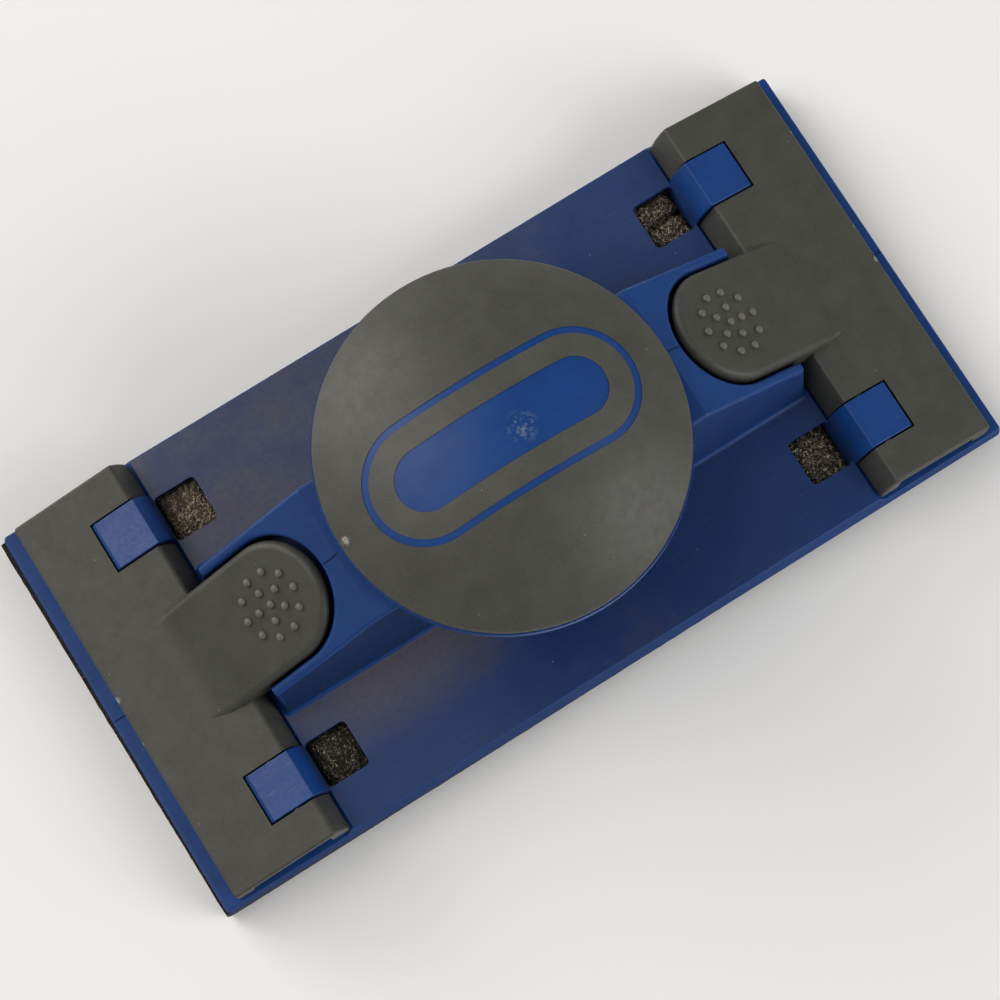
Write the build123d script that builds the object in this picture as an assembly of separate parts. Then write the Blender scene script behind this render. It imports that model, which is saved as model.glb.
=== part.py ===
from build123d import *
import math
import os

# Magnetic glass cleaner, hand-held half, millimetres.
# X runs along the plate, Y across it, Z up. The origin is the middle of the pad's underside.
# "Rise" is a height above the top of the plate.

# ---- driving dimensions -------------------------------------------------------------------

PAD_THICKNESS = 6.0
PAD_LENGTH = 160.6
PAD_WIDTH = 76.4

PLATE_LENGTH = 160.1
PLATE_WIDTH = 77.5
PLATE_HEIGHT = 5.0
PLATE_TOP = PAD_THICKNESS + PLATE_HEIGHT
PLATE_CORNER = 1.0
PLATE_DRAFT = 10            # degrees, on all four side walls
PLATE_EDGE = 0.3
STEP_X = 53.85              # where the plate slopes down under each clamp
STEP_RUN = 1.6
STEP_DEPTH = 2.2

WINDOW_INNER_X = 45.6
WINDOW_OUTER_X = 53.8
WINDOW_INNER_Y = 20.9
WINDOW_OUTER_Y = 29.8
WINDOW_CORNER = 0.9
WINDOW_LIP = 1.4            # thickness of the plate round the windows
POCKET_INNER_X = 44.4
POCKET_INNER_Y, POCKET_OUTER_Y = 19.6, 31.2

SPINE_END_X = 53.3
SPINE_BASE_HALF = 15.1      # half width at the plate
SPINE_TOP_HALF = 13.0       # half width along the top edge
SPINE_TOP_RISE = 24.5
SPINE_EDGE = 0.75
WELL_EDGE = 0.9
SPINE_FOOT = 1.0            # concave radius where the spine meets the plate
MOULD_LINE_WIDTH = 0.35
MOULD_LINE_DEPTH = 0.3

# the thumb levers and the spine's shoulders slope alike
SLOPE = math.radians(33.3)
SLOPE_FOOT_X = 64.3
SLOPE_FOOT_RISE = 3.55
LEVER_CENTRE_X = 45.0       # centre of the lever's round end
LEVER_RADIUS = 10.6
LEVER_PROUD = 1.0           # the levers stand this far above the shoulders
LEVER_DEPTH = 6.4
LEVER_WALL = 2.4
LEVER_EDGE = 1.3
LEVER_BLEND = 1.8           # from the crease between lever and bar to each end of the blend
WELL_GAP = 0.55
WELL_UNDERCUT_X = 3.8       # how far the well leans towards the knob for the swinging lever
WELL_UNDERCUT_RISE = 6.2
WELL_FLOOR_X = 34.3
WELL_FLOOR_RISE = 11.4
WELL_FLOOR_SLOPE = math.radians(22.8)

# clamps
CLAMP_INNER_X = 54.4        # foot of the inner slope
CLAMP_SHOULDER_X = 57.0
CLAMP_SHOULDER_RISE = 6.6
CLAMP_OUTER_X = 77.0
CLAMP_OUTER_RISE = 2.4
CLAMP_FOOT_RISE = -0.3
JAW_RISE = -1.9
JAW_INNER_X = 72.5
CLAMP_HALF = 37.6
CLAMP_WALL = 2.2
CLAMP_EDGE = 0.5
ARCH_X0, ARCH_X1 = 57.9, 73.6      # shallow arched recess in each end wall
ARCH_DEPTH = 0.9
ARCH_LIP = 1.4
PIVOT_X = 60.2
PIVOT_RISE = 3.2
PIN_DIAMETER = 2.4
PIN_CLEARANCE = 0.04        # radial, in the clamps
PIN_HALF = 36.4
RIB = 2.6

# hinge lugs
LUG_Y = 25.65
LUG_WIDTH = 9.1
LUG_FRONT_X = 53.9
LUG_BEND_X = 56.7
LUG_PROUD = 0.3             # the lugs stand this far above the clamp's top
LUG_RADIUS = 5.1
LUG_GAP = 0.33
LUG_END = 0.9               # rounding of the far end
LUG_SIDE = 0.2

# grip dots
DOT_CENTRE_X = 45.4
DOT_DIAMETER = 1.5
DOT_HEIGHT = 0.6
DOT_RINGS = ((1, 0.0), (5, 2.85), (10, 5.7))      # how many, and the ring's radius

# knob
KNOB_RADIUS = 31.7
KNOB_NECK_RADIUS = 13.0
KNOB_FLANGE_RISE = 28.4
KNOB_SEAT_RISE = 30.7
KNOB_FLOOR = 2.4            # thickness of the knob's bowl
CAP_RADIUS = 31.35
CAP_EDGE_RISE = 31.9
CAP_WALL = 2.4
KNOB_TOP_RISE = 43.0
RING_LENGTH, RING_WIDTH = 50.0, 21.3
RING_THICKNESS = 1.2
CENTRE_LENGTH, CENTRE_WIDTH = 39.2, 10.6
BAND_DEPTH = 1.4
RING_SUNK = 0.12            # the blue lies this much under the gray
INLAY_LIP = 1.6             # how far the inlay reaches under the cap
INLAY_WALL = 1.6

# underside
SOLE_THICKNESS = 2.0
SOLE_HALF_X, SOLE_HALF_Y = 43.2, 35.9
TONGUE_HALF_X, TONGUE_HALF_Y = 52.0, 12.0
SOLE_GAP = 0.15
BAY_HALF_X, BAY_HALF_Y = 39.5, 12.2
BAY_RISE = 7.3
UPPER_BAY_HALF_X, UPPER_BAY_HALF_Y = 30.2, 10.6
UPPER_BAY_RISE = 21.5
STRIP_THICKNESS = 0.8
STRIP_CORNER = 2.0
LONG_STRIP_HALF_X, LONG_STRIP_INNER_Y, LONG_STRIP_OUTER_Y = 40.0, 16.4, 34.0
END_STRIP_INNER_X, END_STRIP_OUTER_X, END_STRIP_HALF_Y = 57.5, 77.0, 34.0
SEAL_HALF_X, SEAL_HALF_Y = 41.35, 14.2      # middle of the seal's section
SEAL_WIDTH = 1.6
SEAL_HEIGHT = 1.2
GASKET_RADIUS = 11.6
GASKET_WIDTH = 1.5
GASKET_HEIGHT = 1.2

# magnets
MAGNET_COUNT = 4
MAGNET_X, MAGNET_Y, MAGNET_Z = 18.0, 20.0, 8.0
MAGNET_DIVIDER = 1.2
MAGNET_GAP = 0.05
YOKE_THICKNESS = 2.0
TRAY_HALF_X, TRAY_HALF_Y = 39.2, 11.9

# fasteners
SCREW_DIAMETER = 2.9
SCREW_HEAD_DIAMETER = 5.5
SCREW_HEAD_HEIGHT = 1.8
SOLE_SCREW_X, SOLE_SCREW_Y = 48.4, 9.0
SOLE_SCREW_LENGTH = 5.6
KNOB_SCREW_CIRCLE = 7.6
KNOB_SCREW_LENGTH = 7.5

# springs
SPRING_X = 46.5
SPRING_WIRE = 0.8
SPRING_DIAMETER = 6.6       # over the wire
SPRING_TURNS = 6
SPRING_BASE_RISE = 1.0
SPRING_TOP_RISE = 9.8
SPRING_SEAT_DIAMETER = 7.0
SPRING_POCKET_X = 46.0
SPRING_POCKET_DIAMETER = 9.6

# ---- derived ------------------------------------------------------------------------------

CLAMP_FALL = math.atan((CLAMP_SHOULDER_RISE - CLAMP_OUTER_RISE) / (CLAMP_OUTER_X - CLAMP_SHOULDER_X))
FLOOR_RISE = -STEP_DEPTH
TALL = 60.0                 # longer than anything it has to cut through
STANDING = (Align.CENTER, Align.CENTER, Align.MIN)


def z_at(rise):
    """Height over the pad's underside of a height over the plate."""
    return PLATE_TOP + rise


def slope_rise(x):
    """The sloping plane of the shoulder."""
    return SLOPE_FOOT_RISE + math.tan(SLOPE) * (SLOPE_FOOT_X - x)


def lever_rise(x):
    """The sloping top of the lever."""
    return slope_rise(x) + LEVER_PROUD


def clamp_top_rise(x):
    """The sloping top of the clamp bar."""
    return CLAMP_SHOULDER_RISE - math.tan(CLAMP_FALL) * (x - CLAMP_SHOULDER_X)


def block(x0, x1, y0, y1, rise0, rise1):
    """A box from its six faces; the last two are rises."""
    centre = ((x0 + x1) / 2, (y0 + y1) / 2, z_at((rise0 + rise1) / 2))
    return Pos(*centre) * Box(x1 - x0, y1 - y0, rise1 - rise0)


def side_profile(points, half_width, y=0.0):
    """A closed outline of (x, rise) points, given a width across Y."""
    outline = Polyline(*[(x, y, z_at(rise)) for x, rise in points], close=True)
    return extrude(make_face(outline), amount=half_width, dir=(0, 1, 0), both=True)


def cross_rod(x, rise, diameter, y0, y1):
    """A rod along Y."""
    rod = Cylinder(diameter / 2, y1 - y0, rotation=(90, 0, 0))
    return Pos(x, (y0 + y1) / 2, z_at(rise)) * rod


def slope_plane(x):
    """The sloping plane, with its origin on the middle line."""
    return Plane(origin=(x, 0, z_at(slope_rise(x))), x_dir=(math.cos(SLOPE), 0, -math.sin(SLOPE)),
                 z_dir=(math.sin(SLOPE), 0, math.cos(SLOPE)))


def slot_on_slope(radius):
    """The lever's outline in the sloping plane: straight sides and one round end."""
    run = 30.0
    outline = Circle(radius) + Pos(run / 2, 0) * Rectangle(run, 2 * radius)
    return slope_plane(LEVER_CENTRE_X) * outline


def both_ends(shape):
    """The shape made for the right end, and the same turned round for the left end."""
    return shape, Rot(0, 0, 180) * shape


def one(shape):
    """The single solid of a result."""
    solids = shape.solids()
    return solids[0] if len(solids) == 1 else shape


# ---- base shell ---------------------------------------------------------------------------

def spine_section(x, rise):
    """A cross-section of the spine, wider at the plate than at the top."""
    points = [(x, -SPINE_BASE_HALF, z_at(-1)), (x, SPINE_BASE_HALF, z_at(-1)),
              (x, SPINE_BASE_HALF, z_at(0)), (x, SPINE_TOP_HALF, z_at(rise)),
              (x, -SPINE_TOP_HALF, z_at(rise)), (x, -SPINE_BASE_HALF, z_at(0))]
    return make_face(Polyline(*points, close=True))


def spine():
    """The ridge that rises from both ends to the knob's seat."""
    seat_x = SLOPE_FOOT_X - (SPINE_TOP_RISE - SLOPE_FOOT_RISE) / math.tan(SLOPE)
    end_rise = slope_rise(SPINE_END_X)
    body = loft([spine_section(-SPINE_END_X, end_rise), spine_section(-seat_x, SPINE_TOP_RISE),
                 spine_section(seat_x, SPINE_TOP_RISE), spine_section(SPINE_END_X, end_rise)],
                ruled=True)
    body = fillet([e for e in body.edges() if is_spine_edge(e)], SPINE_EDGE)
    for space in both_ends(well()):
        body -= space
    return fillet([e for e in body.edges() if is_rim_edge(e)], WELL_EDGE)


def on_spine_top(edge):
    """Whether an edge lies in the spine's top, on the flat or on a shoulder."""
    for t in (0.05, 0.5, 0.95):
        point = edge.position_at(t)
        top = min(slope_rise(abs(point.X)), SPINE_TOP_RISE)
        if abs(point.Z - z_at(top)) > 0.02:
            return False
    return True


def is_spine_edge(edge):
    """The long top edges and the upright corners at both ends."""
    middle = edge.position_at(0.5)
    upright = abs(middle.X) > SPINE_END_X - 0.1 and abs(middle.Y) > SPINE_TOP_HALF - 0.1 \
        and edge.bounding_box().size.Z > 5
    along = on_spine_top(edge) and abs(middle.Y) > SPINE_TOP_HALF - 0.1
    return along or upright


def is_rim_edge(edge):
    """The edges round the mouths of the wells."""
    middle = edge.position_at(0.5)
    return on_spine_top(edge) and abs(middle.Y) < LEVER_RADIUS + WELL_GAP + 0.1 \
        and abs(middle.X) < SPINE_END_X - 0.1 and abs(middle.X) > KNOB_RADIUS + 1


def well(gap=WELL_GAP):
    """The space that the right lever swings in."""
    mouth = slot_on_slope(LEVER_RADIUS + gap)
    up = extrude(mouth, amount=TALL, dir=(0, 0, 1))
    lean = Vector(-WELL_UNDERCUT_X, 0, -WELL_UNDERCUT_RISE)
    leaning = extrude(mouth, amount=lean.length, dir=lean.normalized())
    deep = extrude(Pos(*lean) * mouth, amount=TALL, dir=(0, 0, -1))
    straight = extrude(mouth, amount=TALL, dir=(0, 0, -1))
    space = up + straight + leaning + deep
    floor_plane = Plane(origin=(WELL_FLOOR_X, 0, z_at(WELL_FLOOR_RISE)),
                        x_dir=(math.cos(WELL_FLOOR_SLOPE), 0, -math.sin(WELL_FLOOR_SLOPE)),
                        z_dir=(math.sin(WELL_FLOOR_SLOPE), 0, math.cos(WELL_FLOOR_SLOPE)))
    above = floor_plane * Box(2 * TALL, TALL, TALL, align=STANDING)
    return space & above


def hinge_lug(y):
    """A hook of the base that curls over the right clamp's pin."""
    def at(x, rise):
        return (x, y, z_at(rise))
    bend_rise = clamp_top_rise(LUG_BEND_X) + LUG_PROUD
    far_x = PIVOT_X + 2 * LUG_RADIUS
    root = FLOOR_RISE - 0.5
    front = ThreePointArc(at(LUG_FRONT_X, 0), at(54.75, 4.4), at(LUG_BEND_X, bend_rise))
    outline = [Line(at(LUG_FRONT_X, root), at(LUG_FRONT_X, 0)), front,
               Line(at(LUG_BEND_X, bend_rise), at(far_x, clamp_top_rise(far_x) + LUG_PROUD)),
               Line(at(far_x, clamp_top_rise(far_x) + LUG_PROUD), at(far_x, root)),
               Line(at(far_x, root), at(LUG_FRONT_X, root))]
    blank = extrude(make_face(outline), amount=LUG_WIDTH / 2, dir=(0, 1, 0), both=True)
    knuckle = cross_rod(PIVOT_X, PIVOT_RISE, 2 * LUG_RADIUS, y - LUG_WIDTH, y + LUG_WIDTH)
    inner = block(LUG_FRONT_X - 1, PIVOT_X, y - LUG_WIDTH, y + LUG_WIDTH, root, TALL)
    lug = blank & (knuckle + inner)
    bend = [e for e in lug.edges().filter_by(Axis.Y)
            if abs(e.center().X - LUG_BEND_X) < 0.1 and abs(e.center().Z - z_at(bend_rise)) < 0.1]
    lug = fillet(bend, 0.4)
    far_end = max((e for e in lug.edges().filter_by(Axis.Y) if e.center().Z > z_at(3)),
                  key=lambda e: e.center().X)
    lug = fillet(far_end, LUG_END)
    lug = fillet([e for e in lug.edges() if is_lug_side(e, y)], LUG_SIDE)
    bore = cross_rod(PIVOT_X, PIVOT_RISE, PIN_DIAMETER, y - LUG_WIDTH, y + LUG_WIDTH)
    return lug - bore


def is_lug_side(edge, y):
    """The long edges over a lug's two sides, from the front up and over the top."""
    middle = edge.position_at(0.5)
    outside = middle.Z > z_at(3) or (middle.X < LUG_FRONT_X + 1 and middle.Z > z_at(1))
    return outside and abs(abs(middle.Y - y) - LUG_WIDTH / 2) < 0.01


def window(y_sign):
    """A window of the right end, with the pocket under it that thins the plate."""
    x = (WINDOW_INNER_X + WINDOW_OUTER_X) / 2
    y = y_sign * (WINDOW_INNER_Y + WINDOW_OUTER_Y) / 2
    outline = RectangleRounded(WINDOW_OUTER_X - WINDOW_INNER_X, WINDOW_OUTER_Y - WINDOW_INNER_Y,
                               WINDOW_CORNER)
    opening = extrude(Pos(x, y, z_at(1)) * outline, amount=PLATE_HEIGHT + 2, dir=(0, 0, -1))
    y0, y1 = sorted((y_sign * POCKET_INNER_Y, y_sign * POCKET_OUTER_Y))
    return opening + block(POCKET_INNER_X, WINDOW_OUTER_X, y0, y1, -PLATE_HEIGHT - 1, -WINDOW_LIP)


def sole_outline(gap=0.0):
    """The sole plate from above: a wide middle and a tongue at each end."""
    middle = Rectangle(2 * (SOLE_HALF_X + gap), 2 * (SOLE_HALF_Y + gap))
    return middle + Rectangle(2 * (TONGUE_HALF_X + gap), 2 * (TONGUE_HALF_Y + gap))


def underside_slab(outline, height):
    """An outline lifted from the underside of the plate."""
    return extrude(Pos(0, 0, z_at(-PLATE_HEIGHT)) * outline, amount=height, dir=(0, 0, 1))


def plate():
    """The flat slab, stepped down under each clamp."""
    half_x, half_y = PLATE_LENGTH / 2, PLATE_WIDTH / 2
    foot = Pos(0, 0, z_at(-PLATE_HEIGHT)) * RectangleRounded(PLATE_LENGTH, PLATE_WIDTH, PLATE_CORNER)
    slab = extrude(foot, amount=PLATE_HEIGHT, taper=PLATE_DRAFT)
    lowered = side_profile([(STEP_X, 0), (STEP_X + STEP_RUN, FLOOR_RISE), (half_x + 1, FLOOR_RISE),
                            (half_x + 1, 1), (STEP_X, 1)], half_y + 1)
    for step in both_ends(lowered):
        slab -= step
    outer = [e for e in slab.edges() if is_plate_edge(e)]
    return fillet(outer, PLATE_EDGE)


def is_plate_edge(edge):
    """The outer edges of the plate's top, of both slopes and of both end strips."""
    middle = edge.position_at(0.5)
    at_side = abs(middle.Y) > PLATE_WIDTH / 2 - 2
    at_end = abs(middle.X) > PLATE_LENGTH / 2 - 2
    down_the_corner = at_side and at_end and edge.bounding_box().size.Z > 0.5
    return middle.Z > z_at(FLOOR_RISE) - 0.01 and (at_side or at_end) and not down_the_corner


def mould_lines():
    """The fine grooves on the middle line: across the shoulder, and across the end strip."""
    half = MOULD_LINE_WIDTH / 2
    shoulder = side_profile([(x, slope_rise(x) + lift) for x, lift in
                             ((30, -MOULD_LINE_DEPTH), (37, -MOULD_LINE_DEPTH), (37, 1), (30, 1))], half)
    strip = block(CLAMP_OUTER_X, PLATE_LENGTH, -half, half, FLOOR_RISE - MOULD_LINE_DEPTH, 0)
    return shoulder + strip


def is_foot_edge(edge):
    """The long inner corners between the spine and the plate."""
    middle = edge.position_at(0.5)
    at_foot = abs(middle.Z - z_at(0)) < 0.01 and abs(abs(middle.Y) - SPINE_BASE_HALF) < 0.01
    return at_foot and edge.length > 5


def base_shell():
    """The blue moulding that everything else is mounted on."""
    shell = plate() + spine()
    shell = fillet([e for e in shell.edges() if is_foot_edge(e)], SPINE_FOOT)
    for y in (-LUG_Y, LUG_Y):
        for lug in both_ends(hinge_lug(y)):
            shell += lug
    for y_sign in (-1, 1):
        for hole in both_ends(window(y_sign)):
            shell -= hole
    for groove in both_ends(mould_lines()):
        shell -= groove
    # the underside: sole recess, magnet bay, screw room under the knob
    shell -= underside_slab(sole_outline(SOLE_GAP), SOLE_THICKNESS)
    sole_top = SOLE_THICKNESS - PLATE_HEIGHT
    shell -= block(-BAY_HALF_X, BAY_HALF_X, -BAY_HALF_Y, BAY_HALF_Y, sole_top, BAY_RISE)
    shell -= block(-UPPER_BAY_HALF_X, UPPER_BAY_HALF_X, -UPPER_BAY_HALF_Y, UPPER_BAY_HALF_Y,
                   BAY_RISE, UPPER_BAY_RISE)
    for x, y in knob_screw_places():
        shell -= Pos(x, y, z_at(SPINE_TOP_RISE)) * Cylinder(SCREW_DIAMETER / 2 + 0.1, 8)
    for x, y in sole_screw_places():
        shell -= Pos(x, y, z_at(sole_top)) * Cylinder(SCREW_DIAMETER / 2, 2 * SOLE_SCREW_LENGTH)
    for pocket in both_ends(Pos(SPRING_POCKET_X, 0, z_at(SPRING_BASE_RISE)) * Cylinder(
            SPRING_POCKET_DIAMETER / 2, TALL / 4, align=STANDING)):
        shell -= pocket
    for recess in both_ends(end_strip()):
        shell -= recess
    return one(shell)


# ---- clamps -------------------------------------------------------------------------------

def lever_blank():
    """The thumb lever before it is hollowed: sloping plane, blended into the bar's top."""
    meet_x = (SLOPE_FOOT_RISE + LEVER_PROUD + math.tan(SLOPE) * SLOPE_FOOT_X - CLAMP_SHOULDER_RISE
              - math.tan(CLAMP_FALL) * CLAMP_SHOULDER_X) / (math.tan(SLOPE) - math.tan(CLAMP_FALL))
    steep = (meet_x - LEVER_BLEND * math.cos(SLOPE), lever_rise(meet_x) + LEVER_BLEND * math.sin(SLOPE))
    flat_x = meet_x + LEVER_BLEND * math.cos(CLAMP_FALL)
    flat = (flat_x, clamp_top_rise(flat_x))
    near, far = 25.0, flat[0] + 1.5

    def at(x, rise):
        return (x, 0, z_at(rise))
    outline = [Line(at(near, lever_rise(near)), at(*steep)),
               TangentArc(at(*steep), at(*flat), tangent=(math.cos(SLOPE), 0, -math.sin(SLOPE))),
               Line(at(*flat), at(far, clamp_top_rise(far))),
               Line(at(far, clamp_top_rise(far)), at(far, 1)),
               Line(at(far, 1), at(58, 1)),
               Line(at(58, 1), at(56, lever_rise(56) - LEVER_DEPTH)),
               Line(at(56, lever_rise(56) - LEVER_DEPTH), at(near, lever_rise(near) - LEVER_DEPTH)),
               Line(at(near, lever_rise(near) - LEVER_DEPTH), at(near, lever_rise(near)))]
    strip = extrude(make_face(outline), amount=LEVER_RADIUS + 1, dir=(0, 1, 0), both=True)
    column = extrude(slot_on_slope(LEVER_RADIUS), amount=TALL, dir=(0, 0, 1), both=True)
    return strip & column


def grip_dots():
    """Low domes in a centre dot and two rings."""
    cap_radius = (DOT_DIAMETER ** 2 / 4 + DOT_HEIGHT ** 2) / (2 * DOT_HEIGHT)
    plane = Pos(0, 0, LEVER_PROUD) * slope_plane(DOT_CENTRE_X)
    dots = []
    for count, ring in DOT_RINGS:
        for i in range(count):
            turn = 2 * math.pi * i / count
            place = Pos(ring * math.cos(turn), ring * math.sin(turn), DOT_HEIGHT - cap_radius)
            dots.append(plane * place * Sphere(cap_radius))
    return dots


def clamp_bar():
    """The jaw bar across the end, still solid."""
    def at(x, rise):
        return (x, 0, z_at(rise))
    outline = [ThreePointArc(at(CLAMP_INNER_X, CLAMP_FOOT_RISE), at(55.3, 3.4),
                             at(CLAMP_SHOULDER_X, CLAMP_SHOULDER_RISE)),
               Line(at(CLAMP_SHOULDER_X, CLAMP_SHOULDER_RISE), at(CLAMP_OUTER_X, CLAMP_OUTER_RISE)),
               Line(at(CLAMP_OUTER_X, CLAMP_OUTER_RISE), at(CLAMP_OUTER_X, JAW_RISE)),
               Line(at(CLAMP_OUTER_X, JAW_RISE), at(JAW_INNER_X, JAW_RISE)),
               Line(at(JAW_INNER_X, JAW_RISE), at(CLAMP_INNER_X, CLAMP_FOOT_RISE))]
    bar = extrude(make_face(outline), amount=CLAMP_HALF, dir=(0, 1, 0), both=True)
    shoulder = [e for e in bar.edges().filter_by(Axis.Y)
                if abs(e.center().X - CLAMP_SHOULDER_X) < 0.1 and e.center().Z > z_at(3)]
    bar = fillet(shoulder, 0.8)
    lip = [e for e in bar.edges().filter_by(Axis.Y)
           if abs(e.center().X - CLAMP_OUTER_X) < 0.1 and e.center().Z > z_at(0)]
    bar = fillet(lip, 0.5)
    ends = [e for e in bar.edges() if abs(abs(e.center().Y) - CLAMP_HALF) < 0.01 and on_bar_top(e)]
    return fillet(ends, CLAMP_EDGE)


def on_bar_top(edge):
    """Whether an edge belongs to the bar's outside, from the inner foot over to the lip."""
    middle = edge.position_at(0.5)
    inner = middle.X < CLAMP_SHOULDER_X + 1 and middle.Z > z_at(CLAMP_FOOT_RISE + 0.3)
    return inner or middle.Z > z_at(clamp_top_rise(middle.X) - 0.6)


def end_arch(y_sign):
    """The recess in an end wall of the right clamp, open at the foot."""
    points = [(ARCH_X0, -TALL), (ARCH_X0, clamp_top_rise(ARCH_X0) - ARCH_LIP),
              (ARCH_X1, clamp_top_rise(ARCH_X1) - ARCH_LIP), (ARCH_X1, -TALL)]
    y = y_sign * (CLAMP_HALF - ARCH_DEPTH + TALL / 2)
    arch = side_profile(points, TALL / 2, y)
    corners = [e for e in arch.edges().filter_by(Axis.Y) if e.center().Z > z_at(-5)]
    return fillet(corners, 0.9)


def clamp():
    """The right clamp: jaw bar and thumb lever in one moulding."""
    lever = lever_blank()
    edges = [e for e in lever.edges() if is_lever_edge(e)]
    lever = fillet(edges, LEVER_EDGE)
    body = clamp_bar() + lever
    for dot in grip_dots():
        body += dot
    # hollow of the lever, with a seat for the spring
    inner = slot_on_slope(LEVER_RADIUS - CLAMP_WALL)
    under = Pos(0, 0, LEVER_PROUD - LEVER_WALL / math.cos(SLOPE))
    hollow = extrude(under * inner, amount=TALL, dir=(0, 0, -1))
    hollow &= block(0, SPINE_END_X, -TALL, TALL, -TALL, TALL)
    seat = Pos(SPRING_X, 0, z_at(SPRING_TOP_RISE)) * Cylinder(
        SPRING_SEAT_DIAMETER / 2, TALL, align=STANDING)
    body -= hollow - seat
    # hollows of the bar, between ribs that carry the pin
    notch_inner = LUG_Y - LUG_WIDTH / 2 - LUG_GAP
    notch_outer = LUG_Y + LUG_WIDTH / 2 + LUG_GAP
    rooms = ((-4.7, 4.7), (4.7 + RIB, notch_inner - RIB), (RIB - notch_inner, -4.7 - RIB),
             (notch_outer + RIB, CLAMP_HALF - CLAMP_WALL), (CLAMP_WALL - CLAMP_HALF, -notch_outer - RIB))
    room_outline = [(57.0, -4), (57.4, 2.6), (58.8, clamp_top_rise(58.8) - CLAMP_WALL),
                    (JAW_INNER_X, clamp_top_rise(JAW_INNER_X) - CLAMP_WALL), (JAW_INNER_X, -4)]
    for y0, y1 in rooms:
        body -= side_profile(room_outline, (y1 - y0) / 2, (y0 + y1) / 2)
    # notches round the lugs
    for y_sign in (-1, 1):
        y0, y1 = sorted((y_sign * notch_inner, y_sign * notch_outer))
        body -= block(50, PIVOT_X, y0, y1, -TALL, TALL)
        body -= cross_rod(PIVOT_X, PIVOT_RISE, 2 * (LUG_RADIUS + LUG_GAP), y0, y1)
        body -= end_arch(y_sign)
    body -= cross_rod(PIVOT_X, PIVOT_RISE, PIN_DIAMETER + 2 * PIN_CLEARANCE, -TALL, TALL)
    # teeth under the jaw
    for x in (73.4, 74.8, 76.2):
        body -= side_profile([(x - 0.5, JAW_RISE - 0.1), (x, JAW_RISE + 0.5), (x + 0.5, JAW_RISE - 0.1)],
                             CLAMP_HALF - 2)
    return one(body)


def is_lever_edge(edge):
    """Whether an edge runs round the lever's top face."""
    for t in (0.1, 0.5, 0.9):
        point = edge.position_at(t)
        rise = point.Z - PLATE_TOP
        top = max(lever_rise(point.X), clamp_top_rise(point.X))
        on_top = top - 0.05 < rise < top + 1.0
        at_far_end = point.X > CLAMP_SHOULDER_X + 8.5 and abs(point.Y) < LEVER_RADIUS - 0.1
        across = abs(point.Y) < LEVER_RADIUS - 0.1 and point.X > LEVER_CENTRE_X
        if not on_top or at_far_end or across:
            return False
    return True


# ---- knob ---------------------------------------------------------------------------------

def dome_rise(radius):
    """The height of the domed top at a distance from its middle."""
    sag = KNOB_TOP_RISE - CAP_EDGE_RISE
    sphere = (CAP_RADIUS ** 2 + sag ** 2) / (2 * sag)
    return KNOB_TOP_RISE - sphere + math.sqrt(sphere ** 2 - radius ** 2)


def dome(sunk=0.0):
    """All that lies under the knob's domed top."""
    def at(radius):
        return (radius, 0, z_at(dome_rise(radius) - sunk))
    edge = CAP_RADIUS + 2
    outline = [ThreePointArc(at(0), at(edge / 2), at(edge)), Line(at(edge), (edge, 0, 0)),
               Line((edge, 0, 0), (0, 0, 0)), Line((0, 0, 0), at(0))]
    return revolve(make_face(outline), Axis.Z)


def shell_under_dome(sunk, depth):
    """A domed layer, its top and its underside this far under the knob's top."""
    return dome(sunk) - dome(depth)


def racetrack(length, width):
    """A slot-shaped column through the knob, lengthwise along X."""
    return Pos(0, 0, z_at(KNOB_SEAT_RISE)) * extrude(SlotOverall(length, width), amount=TALL / 2)


def knob_body():
    """The blue bowl of the knob: neck, flange and rim."""
    def at(radius, rise):
        return (radius, 0, z_at(rise))
    flange = KNOB_RADIUS - 0.6
    top_radius = KNOB_RADIUS - 0.1
    bowl = CAP_RADIUS - 2.6
    outline = [Line(at(0, SPINE_TOP_RISE), at(KNOB_NECK_RADIUS, SPINE_TOP_RISE)),
               ThreePointArc(at(KNOB_NECK_RADIUS, SPINE_TOP_RISE), at(18.5, 26.9),
                             at(flange, KNOB_FLANGE_RISE)),
               ThreePointArc(at(flange, KNOB_FLANGE_RISE), at(KNOB_RADIUS - 0.1, 28.9),
                             at(KNOB_RADIUS, 29.5)),
               Line(at(KNOB_RADIUS, 29.5), at(top_radius, KNOB_SEAT_RISE)),
               Line(at(top_radius, KNOB_SEAT_RISE), at(bowl, KNOB_SEAT_RISE)),
               Line(at(bowl, KNOB_SEAT_RISE), at(bowl, KNOB_SEAT_RISE - 0.6)),
               Line(at(bowl, KNOB_SEAT_RISE - 0.6), at(0, SPINE_TOP_RISE + KNOB_FLOOR + 2.6)),
               Line(at(0, SPINE_TOP_RISE + KNOB_FLOOR + 2.6), at(0, SPINE_TOP_RISE))]
    body = revolve(make_face(outline), Axis.Z)
    for x, y in knob_screw_places():
        depth = KNOB_SCREW_LENGTH - (SPINE_TOP_RISE - UPPER_BAY_RISE) + 0.2
        body -= Pos(x, y, z_at(SPINE_TOP_RISE)) * Cylinder(SCREW_DIAMETER / 2, 2 * depth)
    body -= knob_gasket()
    return one(body)


def knob_cap():
    """The gray domed top, open over the racetrack."""
    disc = Pos(0, 0, z_at(KNOB_SEAT_RISE)) * Cylinder(CAP_RADIUS, TALL / 2, align=STANDING)
    cap = disc & dome()
    rim = [e for e in cap.edges() if e.is_closed and e.center().Z > z_at(KNOB_SEAT_RISE + 0.5)]
    cap = fillet(rim, 0.6)
    return one(cap - dome(CAP_WALL) - racetrack(RING_LENGTH, RING_WIDTH))


def band_channel():
    """The plan of the band, as a column."""
    outer = racetrack(RING_LENGTH - 2 * RING_THICKNESS, RING_WIDTH - 2 * RING_THICKNESS)
    return outer - racetrack(CENTRE_LENGTH, CENTRE_WIDTH)


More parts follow.
